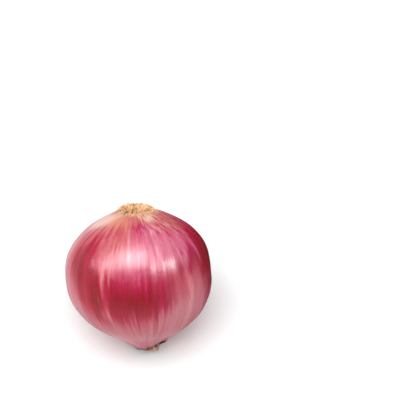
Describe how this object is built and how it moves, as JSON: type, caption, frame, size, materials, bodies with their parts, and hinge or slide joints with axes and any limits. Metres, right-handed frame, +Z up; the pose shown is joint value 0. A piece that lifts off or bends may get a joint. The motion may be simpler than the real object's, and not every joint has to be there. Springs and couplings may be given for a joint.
{
  "type": "red onion",
  "caption": "Round red onion bulb in ribbed papery skin, lying on its shoulder with the trimmed root crown up and the dried neck down.",
  "frame": {"origin": "centre of the flat spot that the onion rests on", "axes": "+Z up, -Y the front, +X right; the neck points down and to the front, and the root crown up and back"},
  "size_m": [0.0727, 0.0713, 0.0678],
  "materials": {
    "red_skin": "papery crimson onion skin with a soft gloss, fine pale veins and pink and peach fading",
    "dry_root": "matte dry tan root fibres with dark gaps",
    "dry_leaf": "matte dry tan leaf tissue with brown torn edges"
  },
  "bodies": {
    "root": {"bulb": "red_skin", "root_crown": "dry_root", "neck_leaves": "dry_leaf"}
  },
  "joints": []
}
